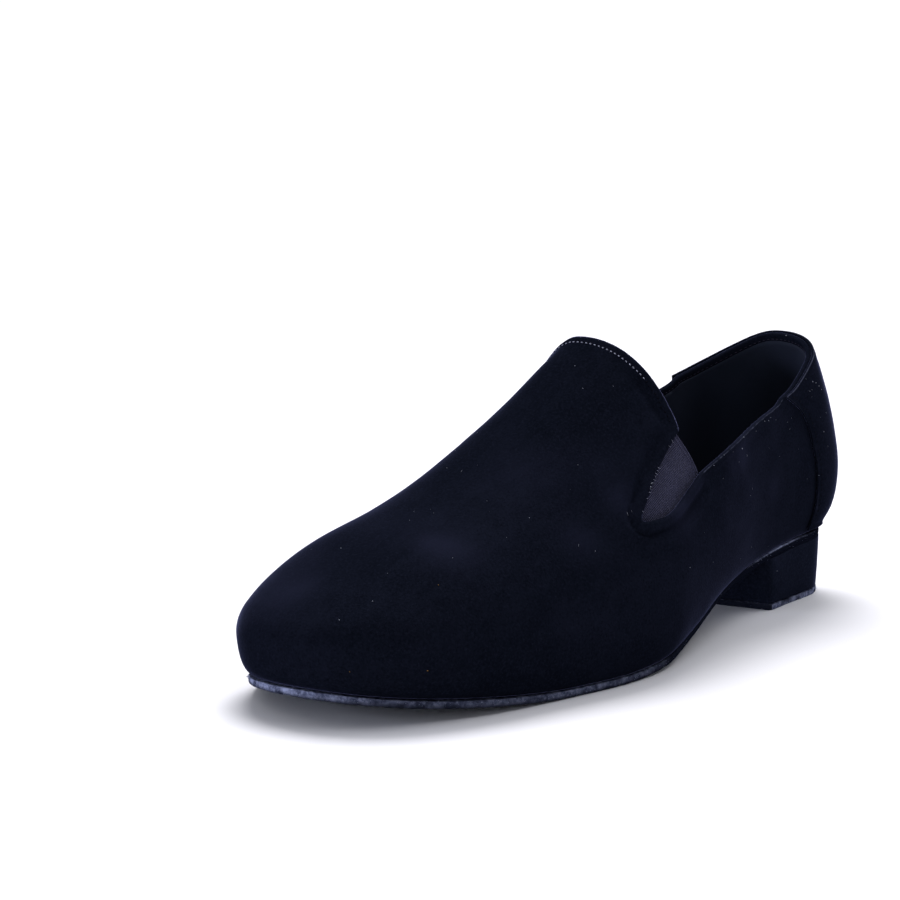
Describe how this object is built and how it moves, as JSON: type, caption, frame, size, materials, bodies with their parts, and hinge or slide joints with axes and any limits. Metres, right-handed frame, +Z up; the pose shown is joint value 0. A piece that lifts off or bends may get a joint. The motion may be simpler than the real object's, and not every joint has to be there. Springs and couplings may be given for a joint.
{
  "type": "ballroom dance shoe",
  "caption": "Suede slip-on dance shoe with a high tongue tab, elastic gores, a low block heel and a thin flexible suede sole.",
  "frame": {"origin": "on the floor, under the middle of the shoe's box", "axes": "+Z up, +Y towards the heel, -Y towards the toe, +X towards the outer side of the left foot"},
  "size_m": [0.1092, 0.3032, 0.1067],
  "materials": {
    "navy_suede": "matte suede nap",
    "elastic": "ribbed elastic webbing",
    "dark_lining": "smooth dark textile",
    "sole_suede": "brushed split suede"
  },
  "bodies": {
    "root": {"upper": "navy_suede", "heel_counter": "navy_suede", "gore_outer": "elastic", "gore_inner": "elastic", "insole": "dark_lining", "outsole": "sole_suede", "heel": "navy_suede", "heel_top_piece": "sole_suede"}
  },
  "joints": []
}
